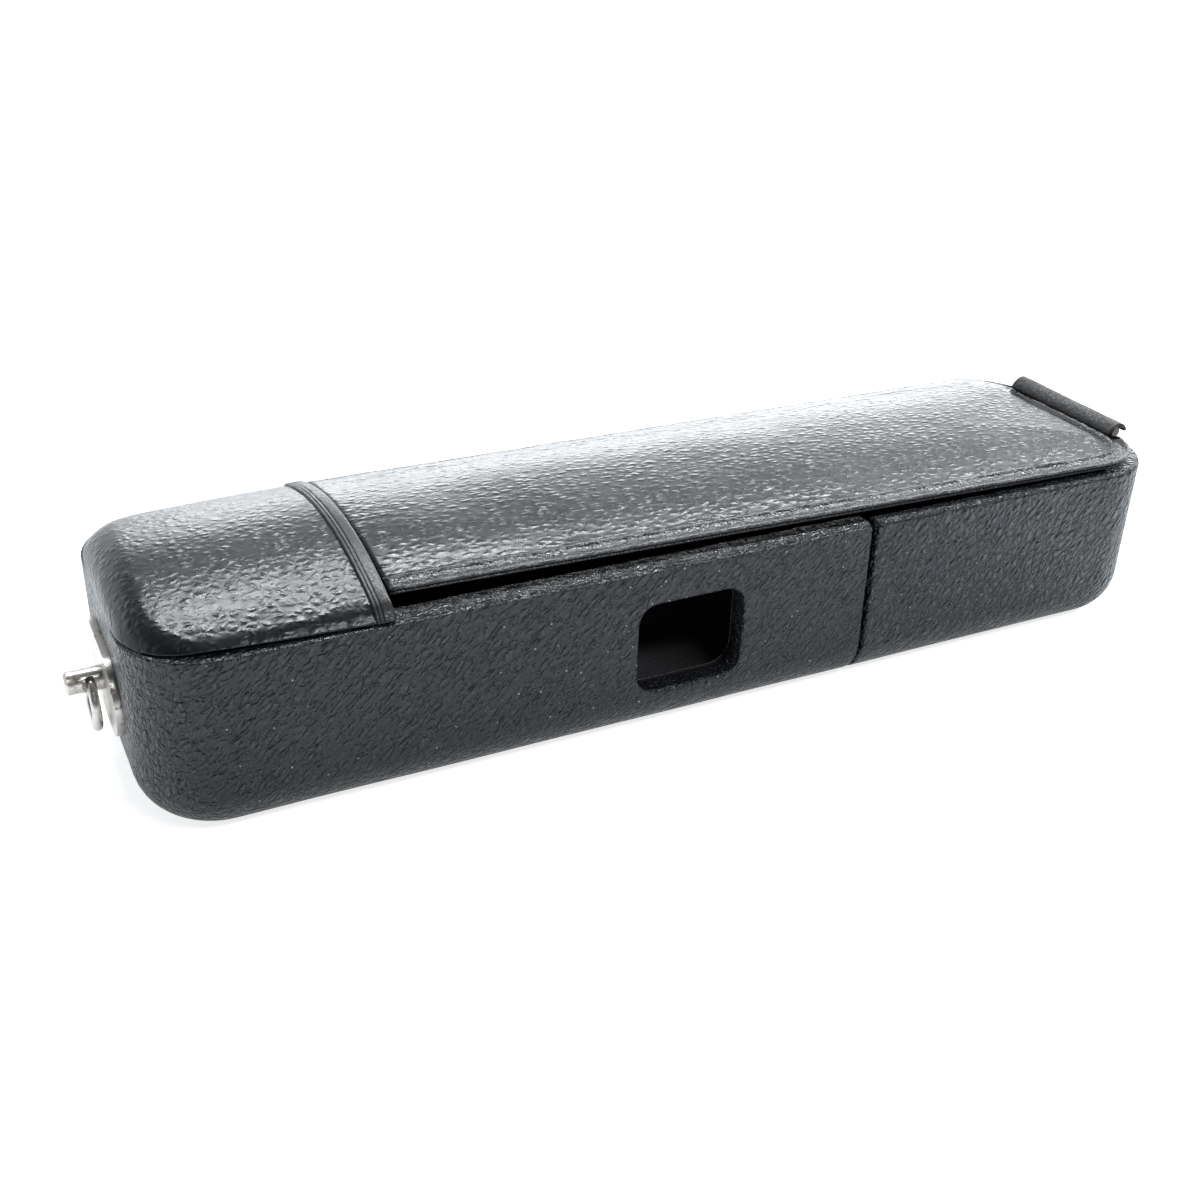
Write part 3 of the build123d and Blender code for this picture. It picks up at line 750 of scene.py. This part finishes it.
for k, place in enumerate(band_line):
    before, after = band_line[max(0, k - 1)], band_line[min(len(band_line) - 1, k + 1)]
    run = after - before
    n = np.array((0.0, -run[2], run[1]))
    n /= np.linalg.norm(n)
    ring = []
    for along, lift in band_loop:
        wave = wander((k * 0.8, along * 2, 0.0), 3.0, 0.03, 6.0)
        ring.append(band_bm.verts.new(
            np.array((cap_mouth_x + along, place[1], place[2])) + n * (lift + wave)))
    band_verts.append(ring)
joined_rings(band_bm, band_verts)
band_bm.faces.new(band_verts[0])
band_bm.faces.new(list(reversed(band_verts[-1])))
band_hide = leather("band_hide", 0.45, 0.022, gloss=0.33, wear=0.9, tint=(0.016, 0.017, 0.020))
cap_strip = made_piece("cap_strip", band_bm, band_hide)
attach(cap_strip, "sleeve")
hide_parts("cap_band")


# Lid leather: over a skived board, its edge rolled and turned in below, with
# a bone-creased line inside the edge and a crowned middle.
lid_free_x, lid_end_x = cap_mouth_x + 0.3, half_length - 1.2
lid_free_half, lid_hinge_half, lid_corner_r = half_width - 3.05, half_width - 1.05, 7.7
lid_free_z, lid_hinge_z = 22.5, 21.45
lid_free_crown, lid_hinge_crown = 2.4, 1.8
barrel_x, barrel_z = 62.55, 22.65
lid_notch_x = barrel_x - 1.4


def lid_share(x):
    """How far along the lid x is, from 0 at the cap to 1 at the hinge end."""
    return (x - lid_free_x) / (lid_end_x - lid_free_x)


def lid_base(x):
    """Height of the lid's underside."""
    return lid_free_z + (lid_hinge_z - lid_free_z) * lid_share(x)


def lid_half(x):
    """Half the lid's width."""
    return lid_free_half + (lid_hinge_half - lid_free_half) * lid_share(x)


# The lid's edge from its lining round the roll to the bead, as depths and
# heights in mm; where there is no height, the crown gives it.
lid_edge = [(3.0, 0.42), (3.02, 0.2), (2.95, 0.03), (2.2, 0.0), (1.2, 0.0), (0.6, 0.02),
            (0.32, 0.06), (0.17, 0.14), (0.12, 0.24), (0.16, 0.34), (0.27, 0.41), (0.33, 0.46),
            (0.22, 0.5), (0.08, 0.56), (0.01, 0.65), (0.0, 0.75), (0.06, 0.86), (0.19, 0.94),
            (0.4, 0.93), (0.62, 0.84), (0.95, 0.80), (1.3, 0.84), (1.7, 0.94), (1.95, 1.03),
            (2.1, 1.16), (2.24, 1.17), (2.38, None), (2.75, None), (3.1, None), (3.6, None)]
bead_depth, border_depth, border_rise, roll_depth, roll_rise = 2.2, 3.6, 0.95, 0.4, 0.93
bead_swell, bead_reach, upper_from, notch_rise = 0.03, 1.3, 0.9, 1.0
roll_end, border_end = 17, 22
edge_rows, bead_rows, rubbed_rows = range(12, 21), range(22, 28), (15, 16, 17, 23, 24, 25)


def lid_top(place, depth):
    """Height of the crowned middle over the lid's underside, at a depth from its edge."""
    crown = lid_free_crown + (lid_hinge_crown - lid_free_crown) * lid_share(place[0])
    t = min(1.0, max(0.0, (depth - bead_depth) / (lid_half(place[0]) - bead_depth)))
    return border_rise + (crown - border_rise) * (1 - (1 - t) ** 2.3)


lid_spine_end_x, end_rise_length, end_border = 47.0, 24, 2.6
lid_outline = []
lid_turn_x = lid_end_x - lid_corner_r
for x in np.linspace(lid_free_x, lid_turn_x, 130):
    lid_outline.append((x, -lid_half(x), 0.0, 1.0))
corner_half = lid_outline[-1][1] * -1
for a in np.radians(np.linspace(0, 90, 19)[1:]):
    lid_outline.append((lid_turn_x + lid_corner_r * math.sin(a),
                        -(corner_half - lid_corner_r) - lid_corner_r * math.cos(a),
                        -math.sin(a), math.cos(a)))
flat_half = corner_half - lid_corner_r
for y in np.linspace(-flat_half, 0.0, 13)[1:]:
    lid_outline.append((lid_end_x, y, -1.0, 0.0))
lid_outline += [(x, -y, in_x, -in_y) for x, y, in_x, in_y in reversed(lid_outline[:-1])]
lid_grid = []
for x, y, in_x, in_y in lid_outline:
    column = []
    notch = abs(y) < barrel_notch_half and x > lid_notch_x
    cut = (x - lid_notch_x) if notch else 0.0
    for depth, height in lid_edge:
        if height is None:
            height = lid_top((x, y), depth) + bead_swell * (border_depth - depth) / bead_reach
        d = max(depth, cut)
        if height > upper_from and d > depth:
            height = lid_top((x, y), d) if d > bead_depth else notch_rise
        spot = np.array((x + in_x * d, y + in_y * d))
        column.append(np.array((spot[0], spot[1], lid_base(spot[0]) + height)))
    start = np.array((x + in_x * border_depth, y + in_y * border_depth))
    spine = np.array((min(x, lid_spine_end_x), 0.0))
    for t in np.linspace(0, 1, 26)[1:]:
        spot = start + (spine - start) * t
        half = lid_half(spot[0])
        end_depth = lid_end_x - spot[0] + end_border
        rise = 1 - (1 - min(1.0, (end_depth - border_depth) / end_rise_length)) ** 2
        depth = min(half - abs(spot[1]), border_depth + (half - border_depth) * rise)
        if end_depth <= border_depth:
            depth = border_depth
        height = lid_top(spot, max(border_depth, depth))
        column.append(np.array((spot[0], spot[1], lid_base(spot[0]) + height)))
    lid_grid.append(column)
lid_grid = np.array(lid_grid)
far_from_y, far_fade, far_droop, far_finish_y = 3.0, 9.0, 0.42, 4.0
for column in lid_grid:
    for j, place in enumerate(column):
        far_side = min(1.0, max(0.0, (place[1] - far_from_y) / far_fade))
        if j < len(lid_edge):
            depth, height = lid_edge[j]
            if j > roll_end:
                inner = lid_top(place, border_depth)
                t = (depth - roll_depth) / (border_depth - roll_depth)
                even = roll_rise + (inner - roll_rise) * t
                now = place[2] - lid_base(place[0])
                place[2] += far_side * (even - now)
                height = roll_rise
            place[2] -= far_side * far_droop * height * max(0.0, 1 - depth / border_depth) ** 2
        if j in edge_rows:
            place[2] += wander(place, 3.0, 0.06, 1.5) + wander(place, 1.1, 0.035, 8.0)
        if j > border_end:
            fade = min(1.0, (j - border_end) / 4)
            place[2] += wander(place, 13.0, 0.14, 2.2) * fade
        if j in bead_rows:
            uneven = wander(place, 0.9, 0.10, 3.3) + wander(place, 0.45, 0.06, 6.3)
            place[2] += uneven * (1 - far_side)
lid_bm = bmesh.new()
lid_verts = [[lid_bm.verts.new(place) for place in column] for column in lid_grid]
for i, j, face in grid_faces(lid_bm, lid_verts):
    if lid_grid[i][j][1] > far_finish_y:
        face.material_index = 1 if j <= roll_end else 0
    else:
        face.material_index = 2 if j in rubbed_rows else 1 if j <= border_end else 0
lid_hide = leather("lid_hide", 0.78, 0.092, plump=0.75, pitted=0.03, slant=8.0, stretch=1.7,
                   gloss=0.24, specks=0.06)
lid_rim_hide = leather("lid_rim_hide", 0.4, 0.05, gloss=0.20, wear=0.8)
rubbed_edge = leather("rubbed_edge", 0.34, 0.14, rim_highlight=1.0, stretch=2.0, gloss=0.18,
                      tint=(0.050, 0.051, 0.053), wear=1.5)
lid_skin = made_piece("lid_skin", lid_bm, lid_hide, lid_rim_hide, rubbed_edge)
thicken(lid_skin, 0.3)
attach(lid_skin, "lid")
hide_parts("lid_leather")


# Hinge cover: a strap of thin leather glued to the lid's end and rolled over
# the barrel, its ends open.
cover_outer_r, cover_inner_r, cover_half = 1.4, 0.96, 9.5
cover_path = [(60.95, 22.55), (61.0, 22.95), (61.3, 23.35), (61.75, 23.75), (62.2, 23.98)]
for r, first, last, count in ((cover_outer_r, 82, 12, 12), (cover_inner_r, 14, 180, 22)):
    for a in np.radians(np.linspace(first, last, count)):
        cover_path.append((barrel_x + r * math.cos(a), barrel_z + r * math.sin(a)))
outer_points = 17
cover_path += [(61.58, 22.4), (61.2, 22.36)]
cover_bm = bmesh.new()
cover_verts = []
for y in np.linspace(-cover_half, cover_half, 60):
    ring = []
    for k, (x, z) in enumerate(cover_path):
        push = wander((x, y, z), 2.6, 0.07, 1.0) - 0.03 if k < outer_points else 0.0
        ring.append(cover_bm.verts.new((x, y, z + push)))
    cover_verts.append(ring)
joined_rings(cover_bm, cover_verts)
cover_bm.faces.new(cover_verts[0])
cover_bm.faces.new(list(reversed(cover_verts[-1])))
cover_hide = leather("cover_hide", 0.6, 0.05, gloss=0.45, wear=0.9, tint=(0.018, 0.018, 0.019))
barrel_cover = made_piece("barrel_cover", cover_bm, cover_hide)
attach(barrel_cover, "lid")
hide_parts("hinge_cover")


# Tray lining: short-napped cotton velvet, glued over the whole inside of the
# neck, with a slot cut in it where the window passes.
def velvet(name, tint, pile):
    """Black napped cloth: a fine pile that is brushed in patches and glints at its tips."""
    material, wire = empty_material(name)
    place = wire.node("ShaderNodeTexCoord", out="Object")
    nap = wire.node(
        "ShaderNodeTexNoise", None,
        {"Vector": place, "Scale": 1000.0 / pile, "Detail": 4.0, "Roughness": 0.7}, out="Fac")
    warp = wire.node(
        "ShaderNodeTexWave", {"wave_type": "BANDS", "bands_direction": "X"},
        {"Vector": place, "Scale": 420.0, "Distortion": 2.0, "Detail": 1.0}, out="Fac")
    weft = wire.node(
        "ShaderNodeTexWave", {"wave_type": "BANDS", "bands_direction": "Y"},
        {"Vector": place, "Scale": 420.0, "Distortion": 2.0, "Detail": 1.0}, out="Fac")
    brushed = wire.node(
        "ShaderNodeTexNoise", None, {"Vector": place, "Scale": 90.0, "Detail": 2.0}, out="Fac")
    height = nap * 0.7 + (warp * weft) * 0.3
    shade = wire.node(
        "ShaderNodeMix", {"data_type": "RGBA"},
        {"Factor": (nap * 0.6 + brushed * 0.5).ramp(0.35, 0.8),
         6: (tint[0] * 0.4, tint[1] * 0.4, tint[2] * 0.4, 1),
         7: (tint[0] * 1.5, tint[1] * 1.5, tint[2] * 1.5, 1)}, out=2)
    shader = wire.node(
        "ShaderNodeBsdfPrincipled", None,
        {"Base Color": shade, "Roughness": nap * 0.2 + 0.75, "Sheen Weight": 0.35,
         "Sheen Roughness": 0.4, "Specular IOR Level": 0.2,
         "Normal": wire.node(
             "ShaderNodeBump", None,
             {"Strength": 0.8, "Distance": 0.00012, "Height": height})})
    wire.node("ShaderNodeOutputMaterial", None, {"Surface": shader})
    return material


def cloth_piece(name, grid, faces_out=(), loop=(), trimmed_to=(), thickness=0.3):
    """A glued-in cloth from a grid of places in mm.

    Where faces_out leaves a hole, loop is its border in the grid, and trimmed_to
    the places that the cloth is trimmed to."""
    bm = bmesh.new()
    verts = [[bm.verts.new(place) for place in column] for column in grid]
    grid_faces(bm, verts, faces_out)
    trim = [bm.verts.new(place) for place in trimmed_to]
    if trim:
        joined_rings(bm, [[verts[i][j] for i, j in loop], trim])
    piece = made_piece(name, bm, lining_cloth)
    thicken(piece, thickness, 0)
    return piece


lining_cloth = velvet("lining_velvet", (0.030, 0.030, 0.034), 0.16)
lining_depth, lining_top, neck_mouth_x = 3.35, 19.95, -55.2
slide_travel, cloth_step = 22.0, 1.0
slot_x, slot_length = window_x - slide_travel / 2, window_length + slide_travel + 1
slot_height, slot_r = 11.95, 2.8
lining_columns = plan_columns(-neck_mouth_x, cloth_step, 0)
lining_profile = wall_profile(lining_depth, lining_top, [])
lining_grid = np.array([column_places(c, lining_profile, lining_depth) for c in lining_columns])
lining_grid[:, :, 0] *= -1
slot_columns = [i for i, c in enumerate(lining_columns)
                if c[3] == -1.0 and abs(lining_grid[i][0][0] - slot_x) < slot_length / 2 + 1.0]
slot_rows = [j for j in range(10, lining_grid.shape[1])
             if abs(lining_grid[slot_columns[0]][j][2] - window_z) < slot_height / 2 + 0.5]
left, right, low, high = slot_columns[0], slot_columns[-1], slot_rows[0], slot_rows[-1]
slot_loop = [(i, low) for i in range(left, right)] + [(right, j) for j in range(low, high)]
slot_loop += [(i, high) for i in range(right, left, -1)] + [(left, j) for j in range(high, low, -1)]
slot_edge = []
for i, j in slot_loop:
    place = lining_grid[i][j]
    core_x, core_z = slot_length / 2 - slot_r, slot_height / 2 - slot_r
    off_x, off_z = place[0] - slot_x, place[2] - window_z
    near_x = min(core_x, max(-core_x, off_x))
    near_z = min(core_z, max(-core_z, off_z))
    away = math.hypot(off_x - near_x, off_z - near_z)
    slot_edge.append(np.array((slot_x + near_x + (off_x - near_x) * slot_r / away,
                               lining_depth - half_width,
                               window_z + near_z + (off_z - near_z) * slot_r / away)))
slot_faces = {(i, j) for i in range(left, right) for j in range(low, high)}
tray_cloth = cloth_piece("tray_cloth", lining_grid, slot_faces, slot_loop, slot_edge)
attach(tray_cloth, "tray")
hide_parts("tray_lining")

# Cap lining: the same velvet, cut a little shorter than the cap and glued up
# into the crown of its board.
cap_cloth_short, cap_cloth_depth, cap_cloth_lowest = 0.75, 2.05, 21.05
cap_cloth_columns = plan_columns(cap_mouth_x - cap_cloth_short, cloth_step, 0)
cap_cloth_grid = np.array(
    [cap_column(*c[:4], -cap_cloth_depth, rows=16) for c in cap_cloth_columns])
cap_cloth_grid[:, :, 2] = np.maximum(cap_cloth_grid[:, :, 2], cap_cloth_lowest)
cap_cloth = cloth_piece("cap_cloth", cap_cloth_grid, thickness=0.22)
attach(cap_cloth, "sleeve")
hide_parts("cap_lining")

# Lid lining: velvet inside the lid's turned-in leather, cut short of the
# hinge leaf.
turned_in, lid_cloth_rise, cloth_corner, lid_cloth_end_x = 3.15, 0.25, 2.0, 53.4
lid_cloth_grid = []
for x in np.linspace(lid_free_x + turned_in, lid_cloth_end_x, 80):
    half = lid_half(x) - turned_in
    half -= max(0.0, cloth_corner - (x - lid_free_x - turned_in)) ** 2 * 0.25
    half -= max(0.0, x - lid_cloth_end_x + cloth_corner) ** 2 * 0.25
    lid_cloth_grid.append([np.array((x, y, lid_base(x) + lid_cloth_rise))
                           for y in np.linspace(-half, half, 24)])
lid_cloth = cloth_piece("lid_cloth", lid_cloth_grid, thickness=0.2)
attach(lid_cloth, "lid")
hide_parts("lid_lining")


# End pads: pieces of dark green-black wool felt, cut with a punch and glued
# to both closed ends, the sleeve's one with a hole for the stud's washer.
wool_felt = velvet("wool_felt", (0.045, 0.050, 0.042), 0.30)
pad_half_y, pad_half_z, pad_r, pad_z, pad_t = 8.5, 6.5, 2.0, 12.5, 0.8


def felt_pad(name, back_x, outward, hole_r, hole_z):
    """A punched felt pad whose back lies at back_x and whose face looks along outward X."""
    loop = [(0.02, 0.06), (0.0, 0.2), (0.0, 0.66), (0.012, 0.8), (0.04, 0.9), (0.12, 0.95),
            (0.3, 0.97), (0.5, 0.98), (0.7, 0.97), (0.88, 0.95), (0.96, 0.9), (0.988, 0.8),
            (1.0, 0.66), (1.0, 0.2), (0.98, 0.06), (0.9, 0.02), (0.5, 0.02), (0.1, 0.02)]
    bm = bmesh.new()
    rings = []
    for turn in np.linspace(0, 2 * math.pi, 97)[:-1]:
        dy, dz = math.cos(turn), math.sin(turn)
        reach = rounded_reach(dy, dz, pad_half_y, pad_half_z, pad_r)
        rim = np.array((dy * reach, pad_z + dz * reach))
        core = np.array((dy * hole_r, hole_z + dz * hole_r))
        ring = []
        for share, lift in loop:
            y, z = core + (rim - core) * share
            fuzz = wander((y, z, lift * 3), 0.9, 0.05, 4.0) if 0.5 < lift else 0.0
            ring.append(bm.verts.new((back_x + outward * pad_t * (lift + fuzz), y, z)))
        rings.append(ring)
    joined_rings(bm, rings + rings[:1])
    pad = made_piece(name, bm, wool_felt)
    return pad


tray_felt = felt_pad("tray_felt", back_x=60.45, outward=-1.0, hole_r=0.12, hole_z=pad_z)
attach(tray_felt, "tray")
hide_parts("tray_end_pad")
sleeve_felt = felt_pad("sleeve_felt", back_x=-62.1, outward=1.0, hole_r=2.45, hole_z=11.6)
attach(sleeve_felt, "sleeve")
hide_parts("sleeve_end_pad")


# Chain fitting: an oval plate, two rivets and a cross-drilled stud, all brass
# with worn nickel plating, and the wire ring that hangs in the stud.
nickel = bare_metal("worn_nickel", (0.66, 0.635, 0.60), 0.24, (0.20, 0.15, 0.10), 0.25)
for node in ("end_plate", "plate_rivets", "chain_stud", "chain_ring"):
    finish_with(node, nickel)
